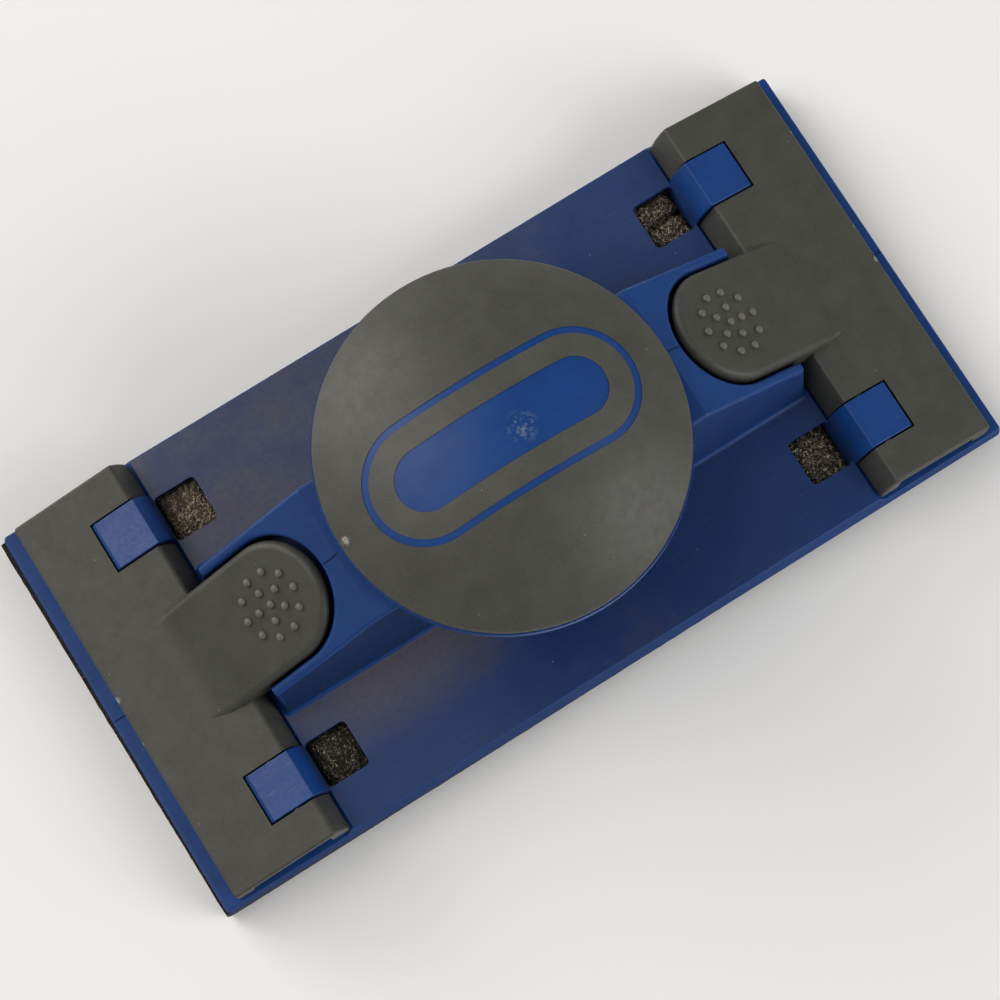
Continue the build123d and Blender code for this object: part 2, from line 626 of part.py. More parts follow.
def knob_band():
    """The gray racetrack band."""
    return one(band_channel() & shell_under_dome(0, BAND_DEPTH))


def knob_inlay():
    """The blue racetrack: ring and centre, with a lip held under the cap."""
    full = racetrack(RING_LENGTH, RING_WIDTH) & shell_under_dome(RING_SUNK, CAP_WALL + INLAY_WALL)
    lip = racetrack(RING_LENGTH + 2 * INLAY_LIP, RING_WIDTH + 2 * INLAY_LIP)
    full += lip & shell_under_dome(CAP_WALL, CAP_WALL + INLAY_WALL)
    return one(full - knob_band())


def knob_gasket():
    """The seal ring between the knob's neck and the spine."""
    ring = Circle(GASKET_RADIUS + GASKET_WIDTH / 2) - Circle(GASKET_RADIUS - GASKET_WIDTH / 2)
    return Pos(0, 0, z_at(SPINE_TOP_RISE)) * extrude(ring, amount=GASKET_HEIGHT)


def knob_screw_places():
    ring = KNOB_SCREW_CIRCLE
    return [(ring, 0), (0, ring), (-ring, 0), (0, -ring)]


def knob_screws():
    """Four pan-head screws, driven upwards from the bay."""
    screws = []
    for x, y in knob_screw_places():
        shank = Cylinder(SCREW_DIAMETER / 2, KNOB_SCREW_LENGTH, align=STANDING)
        head = Cylinder(SCREW_HEAD_DIAMETER / 2, SCREW_HEAD_HEIGHT,
                        align=(Align.CENTER, Align.CENTER, Align.MAX))
        screw = shank + head - cross_drive(-SCREW_HEAD_HEIGHT)
        screws.append(Pos(x, y, z_at(UPPER_BAY_RISE)) * screw)
    return Compound(children=screws)


def cross_drive(height):
    """A cross recess, cut up into a head from its lower face."""
    depth = 1.0
    bars = Box(2.6, 0.7, 2 * depth) + Box(0.7, 2.6, 2 * depth)
    return Pos(0, 0, height) * bars


# ---- underside ----------------------------------------------------------------------------

def sole_screw_places():
    return [(sx * SOLE_SCREW_X, sy * SOLE_SCREW_Y) for sx in (-1, 1) for sy in (-1, 1)]


def countersunk_screw():
    """A countersunk screw, its head's face down at height zero."""
    cone_height = (SCREW_HEAD_DIAMETER - SCREW_DIAMETER) / 2
    head = Cone(SCREW_HEAD_DIAMETER / 2, SCREW_DIAMETER / 2, cone_height,
                align=STANDING)
    shank = Cylinder(SCREW_DIAMETER / 2, SOLE_SCREW_LENGTH, align=STANDING)
    return head + shank


def sole_screws():
    """Four countersunk screws that hold the sole plate."""
    return Compound(children=[Pos(x, y, z_at(-PLATE_HEIGHT)) * (countersunk_screw() - cross_drive(0))
                              for x, y in sole_screw_places()])


def long_strip(y_sign):
    """Hook tape along a long side."""
    outline = RectangleRounded(2 * LONG_STRIP_HALF_X, LONG_STRIP_OUTER_Y - LONG_STRIP_INNER_Y, STRIP_CORNER)
    y = y_sign * (LONG_STRIP_INNER_Y + LONG_STRIP_OUTER_Y) / 2
    return underside_slab(Pos(0, y) * outline, STRIP_THICKNESS)


def end_strip():
    """Hook tape under the right clamp."""
    outline = RectangleRounded(END_STRIP_OUTER_X - END_STRIP_INNER_X, 2 * END_STRIP_HALF_Y, STRIP_CORNER)
    return underside_slab(Pos((END_STRIP_INNER_X + END_STRIP_OUTER_X) / 2, 0) * outline, STRIP_THICKNESS)


def bay_seal():
    """The rubber ring round the magnet bay, in a groove of the sole plate."""
    def outline(side):
        return RectangleRounded(2 * (SEAL_HALF_X + side), 2 * (SEAL_HALF_Y + side), 2.0 + side)
    ring = outline(SEAL_WIDTH / 2) - outline(-SEAL_WIDTH / 2)
    return Pos(0, 0, z_at(SOLE_THICKNESS - PLATE_HEIGHT - SEAL_HEIGHT)) * extrude(ring, amount=SEAL_HEIGHT)


def sole_plate():
    """The flat plate that closes the underside."""
    sole = underside_slab(sole_outline(), SOLE_THICKNESS)
    sole -= bay_seal()
    for y_sign in (-1, 1):
        sole -= long_strip(y_sign)
    for x, y in sole_screw_places():
        sole -= Pos(x, y, z_at(-PLATE_HEIGHT)) * countersunk_screw()
    return one(sole)


def magnet_places():
    pitch = MAGNET_X + MAGNET_DIVIDER
    return [pitch * (i - (MAGNET_COUNT - 1) / 2) for i in range(MAGNET_COUNT)]


def magnet(x, gap=0.0):
    """A block magnet that stands on the sole plate."""
    base = SOLE_THICKNESS - PLATE_HEIGHT
    return block(x - MAGNET_X / 2 - gap, x + MAGNET_X / 2 + gap, -MAGNET_Y / 2 - gap, MAGNET_Y / 2 + gap,
                 base, base + MAGNET_Z)


def yoke_plate(gap=0.0):
    """The steel plate that lies on the magnets."""
    half_x = magnet_places()[-1] + MAGNET_X / 2 + gap
    base = SOLE_THICKNESS - PLATE_HEIGHT + MAGNET_Z
    return block(-half_x, half_x, -MAGNET_Y / 2 - gap, MAGNET_Y / 2 + gap, base, base + YOKE_THICKNESS)


def magnet_tray():
    """The frame round the magnets and the yoke."""
    base = SOLE_THICKNESS - PLATE_HEIGHT
    tray = block(-TRAY_HALF_X, TRAY_HALF_X, -TRAY_HALF_Y, TRAY_HALF_Y, base, base + MAGNET_Z + YOKE_THICKNESS)
    tray = fillet(tray.edges().filter_by(Axis.Z), 1.0)
    for x in magnet_places():
        tray -= magnet(x, MAGNET_GAP)
    return one(tray - yoke_plate(MAGNET_GAP))


# ---- hinge pins, springs, pad -------------------------------------------------------------

def hinge_pin():
    """The right clamp's steel pin, with rounded ends."""
    pin = cross_rod(PIVOT_X, PIVOT_RISE, PIN_DIAMETER, -PIN_HALF, PIN_HALF)
    return chamfer(pin.edges().filter_by(GeomType.CIRCLE), 0.3)


def lever_spring():
    """The coil spring under the right lever."""
    radius = (SPRING_DIAMETER - SPRING_WIRE) / 2
    height = SPRING_TOP_RISE - SPRING_BASE_RISE - SPRING_WIRE
    path = Helix(height / SPRING_TURNS, height, radius)
    wire = Plane(origin=path @ 0, z_dir=path % 0) * Circle(SPRING_WIRE / 2)
    coil = sweep(wire, path=path, is_frenet=True)
    return Pos(SPRING_X, 0, z_at(SPRING_BASE_RISE) + SPRING_WIRE / 2) * coil


def scrub_pad():
    """The soft pad, plain."""
    pad = Pos(0, 0, PAD_THICKNESS / 2) * Box(PAD_LENGTH, PAD_WIDTH, PAD_THICKNESS)
    return fillet(pad.edges().filter_by(Axis.Z), 1.5)


# ---- write --------------------------------------------------------------------------------

def nodes():
    """Every piece by name."""
    pieces = {"base_shell": base_shell(), "sole_plate": sole_plate(), "sole_screws": sole_screws(),
              "bay_seal": bay_seal(), "knob_body": knob_body(), "knob_cap": knob_cap(),
              "knob_band": knob_band(), "knob_inlay": knob_inlay(),
              "knob_gasket": knob_gasket(), "knob_screws": knob_screws(),
              "magnet_tray": magnet_tray(), "yoke_plate": yoke_plate(), "scrub_pad": scrub_pad(),
              "hook_strip_front": long_strip(-1), "hook_strip_back": long_strip(1)}
    for number, x in enumerate(magnet_places(), 1):
        pieces[f"magnet_{number}"] = magnet(x)
    for name, shape in (("clamp", clamp()), ("hinge_pin", hinge_pin()), ("lever_spring", lever_spring()),
                        ("hook_strip", end_strip())):
        pieces[f"{name}_right"], pieces[f"{name}_left"] = both_ends(shape)
    return pieces


os.makedirs("parts", exist_ok=True)
for node, shape in nodes().items():
    export_step(shape, f"parts/{node}.step")
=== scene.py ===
"""Magnetic glass cleaner, hand-held half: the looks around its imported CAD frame."""
import math
import random

import bpy
from mathutils import Matrix, Vector, noise


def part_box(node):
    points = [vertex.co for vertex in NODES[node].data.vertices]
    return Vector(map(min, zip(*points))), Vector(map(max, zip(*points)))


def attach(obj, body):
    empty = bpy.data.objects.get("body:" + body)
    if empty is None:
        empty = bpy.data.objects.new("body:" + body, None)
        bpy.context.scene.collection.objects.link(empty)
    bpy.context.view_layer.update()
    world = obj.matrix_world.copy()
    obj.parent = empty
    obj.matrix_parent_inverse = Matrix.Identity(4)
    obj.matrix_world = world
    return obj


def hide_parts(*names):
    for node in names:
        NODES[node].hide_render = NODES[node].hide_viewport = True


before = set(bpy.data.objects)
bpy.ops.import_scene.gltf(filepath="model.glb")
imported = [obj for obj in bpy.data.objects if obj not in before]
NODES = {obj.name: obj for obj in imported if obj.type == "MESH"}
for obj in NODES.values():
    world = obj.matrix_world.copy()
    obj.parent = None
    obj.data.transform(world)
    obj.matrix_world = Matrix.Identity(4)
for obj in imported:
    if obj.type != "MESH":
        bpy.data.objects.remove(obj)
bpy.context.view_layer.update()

# Sizes are in millimetres unless a name says otherwise; MM turns them into metres.
MM = 0.001
PLATE_HEIGHT = 5.0
PLATE_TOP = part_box("scrub_pad")[1].z + PLATE_HEIGHT * MM      # in metres
# the levers' sloping plane, through a point at the bar
LEVER_SLOPE = math.radians(33.3)
LEVER_FOOT_X, LEVER_FOOT_RISE = 64.3, 4.55
JAW_LINE_X = 54.0       # where the flats of the plate end under the clamps
SPINE_FOOT_Y = 16.0     # the spine's foot at the plate, away from the middle
CLAMP_END_X = 77.0      # the outer edge of the clamps' top
CLAMP_TOP_Z = 13.1      # and its height

# ---- camera and light ---------------------------------------------------------------------

EYE = Vector((-47.9, -81.7, 495.4)) * MM
AIM = Vector((-2.3, -2.6, 11.0)) * MM
ROLL = math.radians(2.09)
LENS = 101.4

scene = bpy.context.scene
scene.view_settings.view_transform = "Standard"


def make_camera():
    """Looks down on the object, a little from its front."""
    data = bpy.data.cameras.new("camera")
    data.lens = LENS
    data.sensor_width = 36
    data.clip_start, data.clip_end = 0.01, 20
    camera = bpy.data.objects.new("camera", data)
    scene.collection.objects.link(camera)
    camera.rotation_mode = "QUATERNION"
    look = (AIM - EYE).to_track_quat("-Z", "Y")
    camera.location = EYE
    camera.rotation_quaternion = look @ Matrix.Rotation(-ROLL, 3, "Z").to_quaternion()
    scene.camera = camera


def soft_box(name, place, width, height, radiance, tint=(1, 1, 1)):
    """A soft box that faces the object; its radiance is that of its own face."""
    data = bpy.data.lights.new(name, "AREA")
    data.shape = "RECTANGLE"
    data.size, data.size_y = width, height
    data.energy = radiance * math.pi * width * height
    data.color = tint
    lamp = bpy.data.objects.new(name, data)
    scene.collection.objects.link(lamp)
    lamp.location = place
    lamp.rotation_mode = "QUATERNION"
    lamp.rotation_quaternion = (Vector((0, 0, 0)) - Vector(place)).to_track_quat("-Z", "Y")


def make_light():
    """Three soft boxes, of which the overhead one is warm, and a pale room."""
    soft_box("overhead_left", (-0.50, 0.36, 0.95), 0.8, 0.8, 2.1, (1, 0.94, 0.86))
    soft_box("side_right", (0.66, -0.76, 0.62), 0.8, 0.8, 3.4, (1, 0.98, 0.95))
    soft_box("side_left", (-0.55, 1.05, 0.50), 0.9, 0.7, 3.8, (1, 0.98, 0.95))
    world = bpy.data.worlds.new("studio")
    world.use_nodes = True
    scene.world = world
    background = world.node_tree.nodes["Background"]
    background.inputs["Color"].default_value = (0.96, 0.98, 1, 1)
    background.inputs["Strength"].default_value = 0.29


def make_floor():
    """Pale paper just under the object."""
    bpy.ops.mesh.primitive_plane_add(size=6, location=(0, 0, -0.0002))
    floor = bpy.context.object
    floor.name = "floor"
    graph = Graph("floor_paper", {"Base Color": (0.96, 0.96, 0.96, 1), "Roughness": 0.9,
                                  "Specular IOR Level": 0.1})
    floor.data.materials.append(graph.material)


# ---- materials ----------------------------------------------------------------------------

class Graph:
    """A material and short ways to add to its node tree. Sizes are in millimetres."""

    def __init__(self, name, settings):
        self.material = bpy.data.materials.new(name)
        self.material.use_nodes = True
        self.tree = self.material.node_tree
        self.shader = self.tree.nodes["Principled BSDF"]
        for socket, value in settings.items():
            self.shader.inputs[socket].default_value = value
        self.place = self.tree.nodes.new("ShaderNodeTexCoord").outputs["Object"]
        self.heights = []

    def add(self, kind, inputs, output=0, **settings):
        node = self.tree.nodes.new("ShaderNode" + kind)
        for name, value in settings.items():
            setattr(node, name, value)
        for key, value in inputs.items():
            socket = node.inputs[key]
            if isinstance(value, bpy.types.NodeSocket):
                self.tree.links.new(value, socket)
            else:
                socket.default_value = value
        return node.outputs[output]

    def maths(self, operation, a, b=0.0):
        return self.add("Math", {0: a, 1: b}, operation=operation)

    def span(self, value, low, high, to_low=0.0, to_high=1.0):
        """Maps low..high to to_low..to_high, smoothly and without overshoot."""
        return self.add("MapRange", {"Value": value, "From Min": low, "From Max": high,
                                     "To Min": to_low, "To Max": to_high},
                        interpolation_type="SMOOTHSTEP")

    def stretched(self, scale, turn=0.0):
        return self.add("Mapping", {"Vector": self.place, "Scale": scale,
                                    "Rotation": (0, 0, math.radians(turn))})

    def noise(self, size, detail=2.0, rough=0.5, place=None):
        return self.add("TexNoise", {"Vector": place or self.place, "Scale": 1 / (size * MM),
                                     "Detail": detail, "Roughness": rough})

    def cells(self, size, output="Distance", place=None):
        return self.add("TexVoronoi", {"Vector": place or self.place, "Scale": 1 / (size * MM)},
                        output=output)

    def mix(self, factor, a, b):
        return self.add("Mix", {0: factor, 6: a, 7: b}, output=2, data_type="RGBA")

    def speckles(self, size, share, dot):
        """Round dots, one in some of the cells of a grid: 1 in the dots, 0 elsewhere."""
        node = self.tree.nodes.new("ShaderNodeTexVoronoi")
        node.inputs["Scale"].default_value = 1 / (size * MM)
        self.tree.links.new(self.place, node.inputs["Vector"])
        picked = self.maths("GREATER_THAN", self.add("SeparateColor", {0: node.outputs["Color"]}),
                            1 - share)
        near = self.span(node.outputs["Distance"], dot, dot * 0.5)
        return self.maths("MULTIPLY", picked, near)

    def axis(self, which, place=None):
        return self.add("SeparateXYZ", {0: place or self.place}, output=which)

    def facing_up(self, low, high):
        normal = self.tree.nodes.new("ShaderNodeNewGeometry").outputs["Normal"]
        return self.span(self.add("SeparateXYZ", {0: normal}, output=2), low, high)

    def spot(self, centre, radius, soft=0.6):
        """1 at a place, 0 beyond a radius; both in millimetres."""
        away = self.add("VectorMath", {0: self.place, 1: tuple(c * MM for c in centre)},
                        output="Value", operation="DISTANCE")
        return self.span(away, radius * MM, radius * (1 - soft) * MM)

    def inside(self, value, low, high, soft):
        """1 between low and high, 0 outside, all in millimetres."""
        rising = self.span(value, (low - soft) * MM, (low + soft) * MM)
        return self.maths("MULTIPLY", rising, self.span(value, (high + soft) * MM, (high - soft) * MM))

    def bump(self, height, depth, strength=1.0):
        """Adds a relief of the given depth in millimetres."""
        self.heights.append((height, depth, strength))

    def finish(self, colour=None, roughness=None):
        normal = None
        for height, depth, strength in self.heights:
            inputs = {"Height": height, "Distance": depth * MM, "Strength": strength}
            if normal is not None:
                inputs["Normal"] = normal
            normal = self.add("Bump", inputs)
        for socket, value in (("Base Color", colour), ("Roughness", roughness), ("Normal", normal)):
            if value is not None:
                self.tree.links.new(value, self.shader.inputs[socket])
        return self.material


def rgb(red, green, blue):
    """Linear colour from the usual 0..255 values."""
    def linear(value):
        value /= 255
        return value / 12.92 if value <= 0.04045 else ((value + 0.055) / 1.055) ** 2.4
    return (linear(red), linear(green), linear(blue), 1)


def grip_domes(g):
    """1 on the domes of the thumb grip, which stand over the lever's sloping plane."""
    off_middle = g.maths("ABSOLUTE", g.axis(0))
    run = g.maths("SUBTRACT", LEVER_FOOT_X * MM, off_middle)
    plane = g.maths("MULTIPLY", run, math.tan(LEVER_SLOPE))
    rise = g.maths("SUBTRACT", g.axis(2), PLATE_TOP + LEVER_FOOT_RISE * MM)
    over = g.maths("SUBTRACT", rise, plane)
    return g.maths("MULTIPLY", g.span(over, 0.05 * MM, 0.6 * MM), g.span(off_middle, 53 * MM, 52.5 * MM))


def gray_plastic(name, tone=0, chips=(), dots=False):
    """Matt moulding with a fine spark-eroded grain, pale specks, a few chips and, on the grip domes, a
    painted highlight.
    """
    g = Graph(name, {"Specular IOR Level": 0.40})
    grain = g.noise(0.30, 3, 0.6)
    blotch = g.noise(5.0, 3, 0.55)
    dark, pale, bloom = (rgb(*(part + tone for part in shade))
                         for shade in ((61, 61, 56), (69, 69, 64), (80, 79, 72)))
    colour = g.mix(g.span(blotch, 0.3, 0.7), dark, pale)
    colour = g.mix(g.span(grain, 0.35, 0.75, 0, 0.5), colour, bloom)
    specks = g.speckles(2.6, 0.16, 0.06)
    colour = g.mix(g.maths("MULTIPLY", specks, 0.55), colour, rgb(150, 146, 134))
    if dots:
        # the grip domes painted paler: partly rubbed tips, partly a painted highlight
        colour = g.mix(g.maths("MULTIPLY", grip_domes(g), 0.55), colour, rgb(122, 121, 110))
    marks = None
    for centre, radius in chips:
        spot = g.spot(centre, radius)
        ragged = g.maths("MULTIPLY", spot, g.span(g.noise(0.5, 3, 0.7), 0.38, 0.5))
        marks = ragged if marks is None else g.maths("MAXIMUM", marks, ragged)
    if marks is not None:
        colour = g.mix(g.maths("MULTIPLY", marks, 0.75), colour, rgb(178, 176, 164))
    g.bump(g.cells(0.26), 0.018, 0.5)
    g.bump(grain, 0.03, 0.45)
    g.bump(blotch, 0.05, 0.2)
    rough = g.span(g.noise(1.6, 4, 0.6), 0.25, 0.75, 0.42, 0.52)
    return g.finish(colour, rough)


def blue_base(g):
    """The colour and relief shared by all the blue mouldings."""
    flow = g.noise(9.0, 3, 0.5)
    colour = g.mix(g.span(flow, 0.3, 0.7), rgb(8, 57, 122), rgb(11, 63, 130))
    g.bump(g.noise(0.5, 3, 0.6), 0.012, 0.5)
    g.bump(g.noise(3.5, 2, 0.5), 0.05, 0.3)
    return colour


def scratches(g, turn, size=2.4):
    """Short fine scratches along one direction."""
    along = g.stretched((0.12, 1.6, 1.0), turn)
    lines = g.span(g.noise(size * 0.28, 2, 0.5, along), 0.63, 0.72)
    return g.maths("MULTIPLY", lines, g.span(g.noise(size * 2.5, 2, 0.5), 0.45, 0.62))


def dusty_and_sheened_flats(g, colour):
    """The flats of the plate: darker, with a brownish layer thicker to the left that is partly dust and
    partly a painted sheen of the light from the upper left.
    """
    x, y, z = (g.axis(i) for i in range(3))
    off_middle = g.maths("ABSOLUTE", x)
    leftward = g.span(x, 70 * MM, -70 * MM, 0.10, 1.0)
    flat = g.maths("MULTIPLY", g.inside(z, 9.0, 11.3, 0.15), g.facing_up(0.93, 0.99))
    inner = g.maths("MULTIPLY", flat, g.span(off_middle, (JAW_LINE_X + 0.5) * MM, (JAW_LINE_X - 0.5) * MM))
    colour = g.mix(g.maths("MULTIPLY", inner, 0.55), colour, rgb(10, 40, 84))
    # brownish dust together with painted sheen: stronger to the left and towards +y, where the light from the
    # upper left reflects off the flats
    dust_and_sheen = g.maths("MULTIPLY", g.span(g.noise(22.0, 5, 0.6), 0.26, 0.66, 0.25, 1.0), leftward)
    dust_and_sheen = g.maths("MULTIPLY", dust_and_sheen, g.span(y, -30 * MM, 30 * MM, 0.22, 1.26))
    mottle = g.span(g.noise(1.0, 4, 0.7), 0.30, 0.70, 0.78, 1.12)
    dust_and_sheen_haze = g.maths("MULTIPLY", g.maths("MULTIPLY", dust_and_sheen, flat), g.maths("MULTIPLY", mottle, 0.48))
    colour = g.mix(dust_and_sheen_haze, colour, rgb(118, 112, 102))
    # dust gathered along the spine's foot
    foot = g.span(y, -(SPINE_FOOT_Y - 4) * MM, -(SPINE_FOOT_Y - 2) * MM)
    dust = g.maths("MULTIPLY", g.span(y, -2 * SPINE_FOOT_Y * MM, -SPINE_FOOT_Y * MM), foot)
    dust = g.maths("MULTIPLY", dust, g.inside(x, -48.0, -16.0, 12.0))
    dust = g.maths("MULTIPLY", g.maths("MULTIPLY", dust, inner), g.maths("MULTIPLY", mottle, 0.52))
    colour = g.mix(dust, colour, rgb(122, 110, 92))
    stain = g.span(g.noise(13.0, 4, 0.65), 0.50, 0.70)
    stain = g.maths("MULTIPLY", stain, g.maths("MULTIPLY", inner, leftward))
    return g.mix(g.maths("MULTIPLY", stain, 0.24), colour, rgb(94, 80, 62)), dust_and_sheen


def shaded_walls(g, colour):
    """Painted shade: the upright walls darkened, the spine's and those to the left most, and the slanted
    surfaces on the left darkened too.
    """
    x, z = g.axis(0), g.axis(2)
    wall = g.facing_up(0.50, 0.30)
    # painted shade on the upright walls, darker to the left and above the plate's top
    wall_shade = g.maths("MULTIPLY", g.span(x, 60 * MM, -30 * MM, 0.45, 0.9),
                    g.span(z, 10.9 * MM, 11.6 * MM, 0.6, 1.0))
    colour = g.mix(g.maths("MULTIPLY", wall, wall_shade), colour, rgb(2, 36, 84))
    # painted shade on the slanted surfaces to the left of the knob
    slanted = g.maths("SUBTRACT", g.facing_up(0.74, 0.80), g.facing_up(0.88, 0.92))
    shoulder_shade = g.maths("MULTIPLY", slanted, g.maths("MULTIPLY", g.span(x, -10 * MM, -30 * MM), 0.40))
    return g.mix(shoulder_shade, colour, rgb(6, 44, 92)), wall


def rubbed_and_sheened_hooks(g, colour):
    """The tops of the hooks made pale, those on the left most: partly rubbing and partly a painted sheen of
    the light from the left.
    """
    x, y, z = (g.axis(i) for i in range(3))
    hooks = g.maths("MULTIPLY", g.inside(z, 13.5, 19.0, 0.2),
                    g.span(g.maths("ABSOLUTE", y), 20.6 * MM, 21.2 * MM))
    hooks = g.maths("MULTIPLY", hooks, g.facing_up(0.90, 0.96))
    # painted sheen as well as rubbing: the hook tops paler to the left, where the light reflects off them
    wear_and_sheen = g.maths("MULTIPLY", hooks, g.span(x, 20 * MM, -20 * MM, 0.06, 1.0))
    wear_and_sheen = g.maths("MULTIPLY", wear_and_sheen, g.span(y, -20 * MM, 20 * MM, 0.55, 0.9))
    patch = g.span(g.noise(0.8, 5, 0.7), 0.30, 0.70, 0.45, 1.0)
    rub_and_sheen = g.maths("MULTIPLY", g.maths("MULTIPLY", wear_and_sheen, patch), 0.36)
    return g.mix(rub_and_sheen, colour, rgb(112, 120, 158)), wear_and_sheen


def blue_shell_plastic():
    """The plate, spine and hooks: semi-gloss, dusty with a painted sheen on the flats, painted shade on the
    walls, scuffed with a painted sheen on the hooks.
    """
    g = Graph("blue_shell_moulding", {"Specular IOR Level": 0.35})
    colour, dust_and_sheen = dusty_and_sheened_flats(g, blue_base(g))
    colour, wall = shaded_walls(g, colour)
    colour, wear_and_sheen = rubbed_and_sheened_hooks(g, colour)
    nicks = g.maths("MAXIMUM", scratches(g, 20), scratches(g, 100, 3.4))
    colour = g.mix(g.maths("MULTIPLY", nicks, g.span(wear_and_sheen, 0, 1, 0.05, 0.45)), colour, rgb(120, 130, 165))
    specks = g.speckles(3.2, 0.20, 0.05)
    colour = g.mix(g.maths("MULTIPLY", specks, 0.6), colour, rgb(150, 152, 160))
    g.bump(nicks, -0.02, 0.6)
    rough = g.span(g.noise(4.0, 4, 0.6), 0.25, 0.75, 0.34, 0.46)
    rough = g.maths("ADD", rough, g.maths("MULTIPLY", dust_and_sheen, 0.06))
    rough = g.maths("ADD", rough, g.maths("MULTIPLY", wall, 0.45))
    return g.finish(colour, rough)


def blue_knob_plastic():
    """The knob's body and racetrack, with a rubbed patch in the middle."""
    g = Graph("blue_knob_moulding", {"Specular IOR Level": 0.35})
    colour = blue_base(g)
    spot = g.spot((3.1, -1.3, 53.7), 3.4, 0.8)
    ragged = g.span(g.noise(1.1, 5, 0.72), 0.49, 0.60)
    rub = g.maths("MULTIPLY", spot, ragged)
    colour = g.mix(g.maths("MULTIPLY", rub, 0.6), colour, rgb(118, 136, 142))
    nicks = scratches(g, 35, 2.0)
    colour = g.mix(g.maths("MULTIPLY", nicks, 0.08), colour, rgb(120, 130, 165))
    specks = g.speckles(3.0, 0.18, 0.05)
    colour = g.mix(g.maths("MULTIPLY", specks, 0.5), colour, rgb(150, 152, 160))
    g.bump(rub, 0.03, 0.5)
    rough = g.span(g.noise(3.0, 4, 0.6), 0.25, 0.75, 0.34, 0.46)
    return g.finish(colour, rough)


def plain_plastic(name, low, high):
    """Matt moulding between two colours, for pieces that are out of sight."""
    g = Graph(name, {"Specular IOR Level": 0.4})
    colour = g.mix(g.span(g.noise(4.0, 3, 0.6), 0.3, 0.7), low, high)
    g.bump(g.cells(0.4), 0.02, 0.5)
    return g.finish(colour, g.span(g.noise(2.0, 3, 0.6), 0.3, 0.7, 0.45, 0.6))


def metal(name, low, high, rough_low, rough_high, grain=(0.05, 1, 1), size=0.3):
    """Drawn, plated or rolled metal with its grain along X, Y or Z."""
    g = Graph(name, {"Metallic": 1.0})
    lines = g.noise(size, 3, 0.6, g.stretched(grain))
    colour = g.mix(g.span(lines, 0.3, 0.7), low, high)
    stain = g.span(g.noise(6.0, 4, 0.6), 0.45, 0.75)
    colour = g.mix(g.maths("MULTIPLY", stain, 0.25), colour, rgb(116, 110, 100))
    g.bump(lines, 0.008, 0.6)
    return g.finish(colour, g.span(lines, 0.2, 0.8, rough_low, rough_high))


def rubber():
    """Black rubber, a little dusty."""
    g = Graph("seal_rubber", {"Specular IOR Level": 0.3})
    colour = g.mix(g.span(g.noise(1.5, 4, 0.6), 0.3, 0.7), rgb(24, 24, 25), rgb(40, 40, 42))
    g.bump(g.noise(0.4, 3, 0.6), 0.03, 0.6)
    return g.finish(colour, g.span(g.noise(0.8, 3, 0.6), 0.3, 0.7, 0.65, 0.82))


def hook_tape():
    """Woven tape with rows of nylon hooks."""
    g = Graph("hook_tape", {"Specular IOR Level": 0.35})
    weave = g.cells(0.9)
    colour = g.mix(g.span(weave, 0.1, 0.6), rgb(46, 46, 48), rgb(20, 20, 22))
    g.bump(weave, -0.25, 0.8)
    return g.finish(colour, g.span(g.noise(0.6, 3, 0.6), 0.3, 0.7, 0.5, 0.75))


def pad_fibre(name, dark, pale, share, in_windows=False):
    """Non-woven fibre: dark filaments with pale grit of resin, gathered in clumps."""
    g = Graph(name, {"Specular IOR Level": 0.25})
    grit = g.span(g.noise(0.42, 4, 0.7), 0.62 - share, 0.70 - share)
    if in_windows:
        # painted light and shade: the pad painted lighter where it swells up into a window, darker and with
        # little pale grit lower down near the window walls
        swollen = g.span(g.axis(2), 5.9 * MM, 6.6 * MM)
        grit = g.maths("MULTIPLY", grit, g.maths("MAXIMUM", swollen, 0.1))
        dark = g.mix(swollen, dark, rgb(62, 60, 56))
    clump = g.span(g.noise(1.2, 3, 0.6), 0.44, 0.62, 0.0, 0.80)
    colour = g.mix(clump, g.mix(grit, dark, pale), dark)
    g.bump(g.noise(0.35, 4, 0.7), 0.25, 0.8)
    return g.finish(colour, g.span(g.noise(0.8, 3, 0.6), 0.3, 0.7, 0.6, 0.85))


def assign(material, *names):
    """Puts a material on CAD nodes."""
    for name in names:
        slots = NODES[name].material_slots
        if not slots:
            NODES[name].data.materials.append(material)
        for slot in slots:
            slot.material = material


